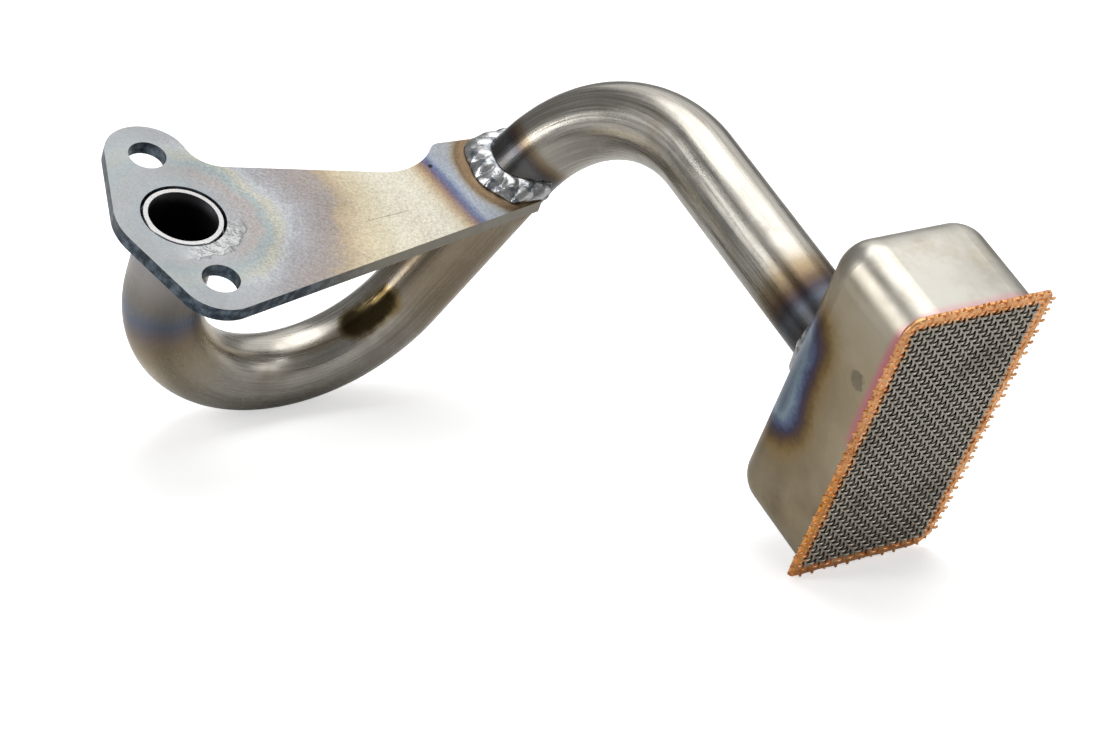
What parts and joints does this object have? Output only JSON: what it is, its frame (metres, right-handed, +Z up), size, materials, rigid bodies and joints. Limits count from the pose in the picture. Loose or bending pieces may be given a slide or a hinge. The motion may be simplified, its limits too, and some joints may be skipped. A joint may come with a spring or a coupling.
{
  "type": "oil pickup tube",
  "caption": "Bent steel oil pickup tube with a bolted flange and brace arm at its outlet and a drawn inlet box closed by a brazed wire screen at its foot.",
  "frame": {"origin": "middle of the footprint, on the bench on which the part lies", "axes": "+Z up from the bench; +X along the part's length, from the flange towards the inlet box; +Y away from the screen's face"},
  "size_m": [0.2171, 0.1337, 0.0892],
  "materials": {
    "plate": "heat-tinted satin",
    "tube": "brushed lengthwise",
    "box": "satin",
    "screen": "dull woven wire",
    "braze": "copper braze",
    "weld": "rippled weld bead"
  },
  "bodies": {
    "root": {"flange_plate": "plate", "pickup_tube": "tube", "inlet_box": "box", "wire_screen": "screen", "screen_braze": "braze", "flange_weld": "weld", "arm_weld": "weld", "box_weld": "weld"}
  },
  "joints": []
}
